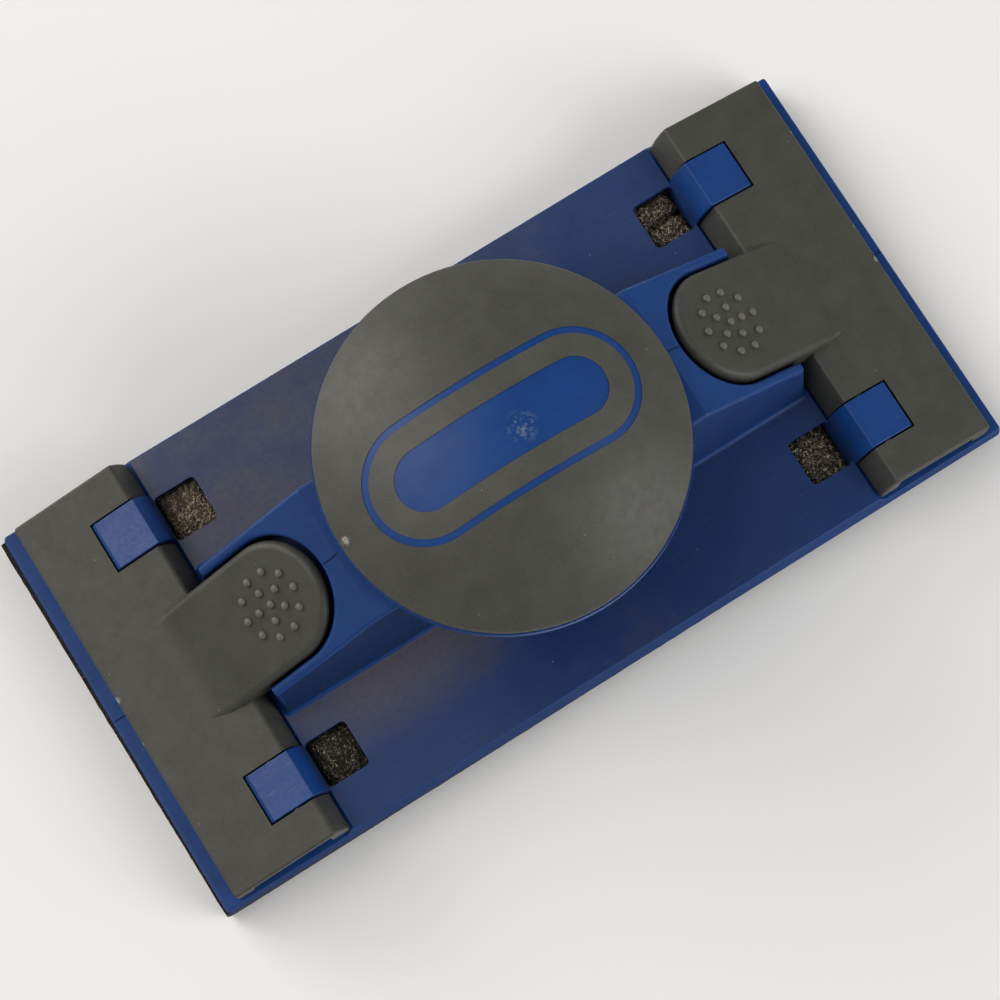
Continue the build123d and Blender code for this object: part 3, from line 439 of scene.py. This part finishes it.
def dress_frame():
    """Gives every CAD piece that stays its finished material."""
    # chips along each clamp's outer edge, and two at the left of the knob's cap
    left_chips = [((-CLAMP_END_X, y, CLAMP_TOP_Z), radius) for y, radius in ((2.2, 0.9), (-6.5, 0.5))]
    right_chips = [((CLAMP_END_X, y, CLAMP_TOP_Z), radius)
                   for y, radius in ((-1.6, 0.9), (5.6, 0.5), (26.0, 0.5))]
    cap_chips = [((-30.3, -0.3, 43.7), 1.0), ((-24.0, -0.1, 47.8), 0.5)]
    # painted shade: the left clamp is painted 3 levels darker than the right one of the same moulding
    assign(gray_plastic("gray_clamp_left_shaded_moulding", -3, left_chips, dots=True), "clamp_left")
    assign(gray_plastic("gray_clamp_right_moulding", 0, right_chips, dots=True), "clamp_right")
    assign(gray_plastic("gray_knob_moulding", 4, cap_chips), "knob_cap")
    assign(gray_plastic("gray_band_moulding", 9), "knob_band")
    assign(blue_shell_plastic(), "base_shell", "sole_plate")
    assign(blue_knob_plastic(), "knob_body", "knob_inlay")
    assign(plain_plastic("tray_moulding", rgb(34, 34, 36), rgb(46, 46, 48)), "magnet_tray")
    assign(metal("yoke_steel", rgb(140, 140, 138), rgb(172, 172, 170), 0.35, 0.5), "yoke_plate")
    assign(metal("magnet_nickel", rgb(176, 172, 160), rgb(200, 196, 184), 0.18, 0.32, (1, 1, 1), 1.2),
           "magnet_1", "magnet_2", "magnet_3", "magnet_4")
    assign(metal("drawn_steel", rgb(150, 150, 148), rgb(186, 186, 184), 0.22, 0.38, (1, 0.05, 1)),
           "hinge_pin_left", "hinge_pin_right", "sole_screws", "knob_screws",
           "lever_spring_left", "lever_spring_right")
    assign(rubber(), "knob_gasket", "bay_seal")
    assign(hook_tape(), "hook_strip_front", "hook_strip_back", "hook_strip_left", "hook_strip_right")


# ---- the pad ------------------------------------------------------------------------------

# the corners of the pad, which lies slightly askew
PAD_CORNERS = {(-1, 1): (-80.8, 38.2), (-1, -1): (-80.4, -38.6), (1, 1): (80.2, 38.1), (1, -1): (80.1, -38.1)}
PAD_HALF = 80.3, 38.2
PAD_ROUND = 1.6         # radius of its corners
RAGGED = 0.9            # how far its outline strays from that
PAD_TOP = 5.95
PAD_THICKNESS = 6
WALL_BAND = 2.5         # how far in from the outline the side walls may swell
WALL_LAYERS = 5
FACE_HALF = 79.5, 37.6  # the working face that filaments lie on
FACE_Z = 0.42
FINE_STEP, COARSE_STEP = 0.3, 1.6      # spacing of the core's points in the windows and elsewhere
FINE_MARGIN = 0.4
WINDOWS = [(sx, sy) for sx in (-1, 1) for sy in (-1, 1)]
WINDOW_GRIT = {(-1, 1): 1.6, (-1, -1): 0.20, (1, 1): 0.72, (1, -1): 0.50}     # share of pale fibres
WINDOW_X, WINDOW_Y = (44.7, 53.6), (19.9, 30.9)      # the room under each window
WINDOW_HALF = 4.45, 5.5
WINDOW_MARGIN = 0.3     # how far filaments keep from its walls
CREASE_Y, CREASE_DEPTH, CREASE_WIDTH = 25.4, 2.2, 0.62      # a crease of the pad in one window
BULGE = 2.3             # how far the pad swells into the room under a window


def new_mesh(name, points, faces, material):
    """A piece of the pad, which rides on the base."""
    mesh = bpy.data.meshes.new(name)
    mesh.from_pydata(points, [], faces)
    mesh.update()
    piece = bpy.data.objects.new(name, mesh)
    scene.collection.objects.link(piece)
    mesh.materials.append(material)
    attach(piece, "base")
    return piece


def pad_point(u, v):
    """A place on the skewed pad from -1..1 along it and across it, in millimetres."""
    a, b = (u + 1) / 2, (v + 1) / 2
    near = Vector(PAD_CORNERS[-1, -1]).lerp(Vector(PAD_CORNERS[1, -1]), a)
    far = Vector(PAD_CORNERS[-1, 1]).lerp(Vector(PAD_CORNERS[1, 1]), a)
    return near.lerp(far, b)


def in_window(x, y, margin=0.0):
    """Whether a place lies in the room under one of the windows."""
    return (WINDOW_X[0] + margin < abs(x) < WINDOW_X[1] - margin
            and WINDOW_Y[0] + margin < abs(y) < WINDOW_Y[1] - margin)


def pad_top(x, y):
    """The height of the pad's upper side: flat under the plate, swollen in the windows."""
    if not in_window(x, y):
        return PAD_TOP
    middle_x, middle_y = sum(WINDOW_X) / 2, sum(WINDOW_Y) / 2
    fall = max(abs(abs(x) - middle_x) / WINDOW_HALF[0], abs(abs(y) - middle_y) / WINDOW_HALF[1])
    rough = noise.noise(Vector((x, y, 0)) * 1.3) * 0.45 + noise.noise(Vector((x, y, 5)) * 3.1) * 0.3
    height = PAD_TOP + BULGE * (1 - fall ** 5) + rough * (1 - fall ** 6)
    if x > 0 and y > 0:
        across = (y - CREASE_Y - 0.10 * (x - middle_x)) / CREASE_WIDTH
        height -= CREASE_DEPTH * math.exp(-across ** 2)
    return height


def stops(low, high, fine):
    """Values from low to high, close together inside the fine ranges."""
    values = [low]
    while values[-1] < high - 1e-6:
        at = values[-1]
        in_fine = any(a - FINE_MARGIN <= at < b + FINE_MARGIN for a, b in fine)
        step = FINE_STEP if in_fine else COARSE_STEP
        for a, b in fine:
            if at < a - FINE_MARGIN < at + step:
                step = a - FINE_MARGIN - at
        values.append(min(at + step, high))
    return values


def pad_outline(u, v):
    """A place on the pad as pad_point gives it, with the corners of the outline kept round."""
    spot = pad_point(u, v)
    corner = Vector((PAD_HALF[0] - PAD_ROUND, PAD_HALF[1] - PAD_ROUND))
    out = Vector((abs(spot.x) - corner.x, abs(spot.y) - corner.y))
    reach = PAD_ROUND + RAGGED
    if out.x > 0 and out.y > 0 and out.length > reach:
        out *= reach / out.length
        spot = Vector((math.copysign(corner.x + out.x, spot.x), math.copysign(corner.y + out.y, spot.y)))
    return spot


def pad_layer(points, loop, size, share):
    """Adds a loop of points partway down the pad's side walls; returns their indices."""
    names = []
    for index in loop:
        top, bottom = Vector(points[index]), Vector(points[index + size])
        spot = top.lerp(bottom, share)
        swell = 0.12 * math.sin(math.pi * share) + 0.14 * noise.noise(spot * 900)
        at_end = abs(spot.x) > (PAD_HALF[0] - WALL_BAND) * MM
        at_side = abs(spot.y) > (PAD_HALF[1] - WALL_BAND) * MM
        out = Vector((spot.x / (PAD_HALF[0] * MM) if at_end else 0,
                      spot.y / (PAD_HALF[1] * MM) * 0.9 if at_side else 0, 0))
        if out.length > 0:
            spot += out.normalized() * swell * MM
        names.append(len(points))
        points.append(tuple(spot))
    return names


def make_pad():
    """The pad's core: a rough slab with a dense skin in the windows."""
    length, width = PAD_HALF
    fine_x = [(-WINDOW_X[1], -WINDOW_X[0]), WINDOW_X]
    fine_y = [(-WINDOW_Y[1], -WINDOW_Y[0]), WINDOW_Y]
    xs = [v / length for v in stops(-length, length, fine_x)]
    ys = [v / width for v in stops(-width, width, fine_y)]
    columns, rows = len(xs), len(ys)
    size = columns * rows
    points, faces = [], []
    for upper in (True, False):
        for v in ys:
            for u in xs:
                spot = pad_outline(u, v)
                if upper:
                    z = pad_top(spot.x, spot.y)
                else:
                    z = 0.55 + 0.35 * noise.noise(Vector((spot.x, spot.y, 9)) * 0.6)
                points.append((spot.x * MM, spot.y * MM, z * MM))
    for j in range(rows - 1):
        for i in range(columns - 1):
            a = j * columns + i
            faces.append((a, a + 1, a + columns + 1, a + columns))
            b = a + size
            faces.append((b, b + columns, b + columns + 1, b + 1))
    # side walls in layers, from the upper side down
    loop = (list(range(columns)) + [j * columns + columns - 1 for j in range(1, rows)]
            + [(rows - 1) * columns + i for i in range(columns - 2, -1, -1)]
            + [j * columns for j in range(rows - 2, 0, -1)])
    shares = [layer / WALL_LAYERS for layer in range(1, WALL_LAYERS)]
    rings = [loop] + [pad_layer(points, loop, size, share) for share in shares]
    rings.append([index + size for index in loop])
    for above, below in zip(rings, rings[1:]):
        for k in range(len(loop)):
            n = (k + 1) % len(loop)
            faces.append((above[k], below[k], below[n], above[n]))
    dark, pale = rgb(26, 25, 23), rgb(186, 174, 148)
    pad = new_mesh("pad_core", points, faces, pad_fibre("pad_core_fibre", dark, pale, 0.12, True))
    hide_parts("scrub_pad")
    return pad


class Fibres:
    """Many thin curling filaments gathered into one mesh."""

    def __init__(self, seed):
        self.random = random.Random(seed)
        self.points, self.faces = [], []

    def add(self, start, heading, height_at, length, radius, keep, curl=0.6, steps=6):
        """A filament that lies on a surface. height_at gives its height, keep its bounds."""
        x, y = start
        spine = []
        step = length / steps
        for _ in range(steps + 1):
            if not keep(x, y):
                break
            z = height_at(x, y) + self.random.uniform(-0.12, 0.3)
            spine.append(Vector((x, y, z)))
            heading += self.random.gauss(0, curl)
            x += math.cos(heading) * step
            y += math.sin(heading) * step
        self.tube(spine, radius)

    def tube(self, spine, radius, sides=3):
        if len(spine) < 3:
            return
        first = len(self.points)
        for k, spot in enumerate(spine):
            ahead = spine[min(k + 1, len(spine) - 1)] - spine[max(k - 1, 0)]
            across = ahead.cross(Vector((0.1, 0.2, 1))).normalized()
            over = across.cross(ahead).normalized()
            thin = 0.45 if k in (0, len(spine) - 1) else 1.0
            for s in range(sides):
                angle = 2 * math.pi * s / sides
                out = across * math.cos(angle) + over * math.sin(angle)
                self.points.append(tuple((spot + out * radius * thin) * MM))
        for k in range(len(spine) - 1):
            for s in range(sides):
                a, b = first + k * sides + s, first + k * sides + (s + 1) % sides
                self.faces.append((a, b, b + sides, a + sides))
        self.faces.append(tuple(first + s for s in reversed(range(sides))))
        last = first + (len(spine) - 1) * sides
        self.faces.append(tuple(last + s for s in range(sides)))

    def piece(self, name, material):
        return new_mesh(name, self.points, self.faces, material)


def window_fibres(dark, pale):
    """Filaments over the swollen parts of the pad, paler in some windows than in others."""
    def keep(x, y):
        return in_window(x, y, WINDOW_MARGIN)

    for sx, sy in WINDOWS:
        grit = WINDOW_GRIT[sx, sy]
        dark_count, pale_count = round(max(60, 520 - 360 * grit)), round(620 * grit)
        for family, count, radius in ((dark, dark_count, 0.075), (pale, pale_count, 0.085)):
            for _ in range(count):
                x = sx * family.random.uniform(WINDOW_X[0] + WINDOW_MARGIN, WINDOW_X[1] - WINDOW_MARGIN)
                y = sy * family.random.uniform(WINDOW_Y[0] + WINDOW_MARGIN, WINDOW_Y[1] - WINDOW_MARGIN)
                heading = family.random.uniform(0, math.tau)
                family.add((x, y), heading, pad_top, family.random.uniform(1.2, 3.2), radius, keep, 0.8)


def wall_fibre(family):
    """One filament on a side wall of the pad."""
    step = 0.55
    long_side_share = 0.66
    along = family.random.random()
    if family.random.random() < long_side_share:
        u, v = along * 2 - 1, family.random.choice((-1, 1))
        tangent, out = Vector((1, 0, 0)), Vector((0, v, 0))
    else:
        u, v = family.random.choice((-1, 1)), along * 2 - 1
        tangent, out = Vector((0, 1, 0)), Vector((u, 0, 0))
    spot = pad_point(u * 0.995, v * 0.99)
    at = Vector((spot.x, spot.y, family.random.uniform(0.5, 5.6)))
    family.random.uniform(-1.2, 1.2)      # not used; it keeps the draws after it in their order
    turn = family.random.gauss(0, 0.5)
    spine = []
    for _ in range(6):
        belly = 0.10 * math.sin(math.pi * (at.z / PAD_THICKNESS))
        spine.append(at + out * (belly + family.random.uniform(-0.18, 0.10)))
        turn += family.random.gauss(0, 0.6)
        at = at + (tangent * math.cos(turn) + Vector((0, 0, 1)) * math.sin(turn)) * step
        at.z = min(max(at.z, 0.25), 5.75)
        at.x = min(max(at.x, -80.9), 80.1)
        at.y = min(max(at.y, -38.5), 38.1)
    family.tube(spine, 0.08)


def face_fibre(family):
    """One filament on the pad's working face."""
    def height_at(x, y):
        return FACE_Z

    def keep(x, y):
        return abs(x) < FACE_HALF[0] and abs(y) < FACE_HALF[1]

    x, y = family.random.uniform(-79, 79), family.random.uniform(-37, 37)
    family.add((x, y), family.random.uniform(0, math.tau), height_at,
               family.random.uniform(3, 7), 0.11, keep, 0.5)


def make_fibres():
    dark, pale = Fibres(3), Fibres(8)
    window_fibres(dark, pale)
    for draw, dark_count, pale_count in ((wall_fibre, 2200, 150), (face_fibre, 5200, 700)):
        for family, count in ((dark, dark_count), (pale, pale_count)):
            for _ in range(count):
                draw(family)
    dark_look = pad_fibre("dark_fibre", rgb(34, 32, 29), rgb(90, 83, 70), -0.02, True)
    pale_look = pad_fibre("pale_fibre", rgb(110, 100, 84), rgb(232, 218, 190), 0.14)
    dark.piece("pad_fibres_dark", dark_look)
    pale.piece("pad_fibres_pale", pale_look)


make_camera()
make_light()
make_floor()
dress_frame()
make_pad()
make_fibres()
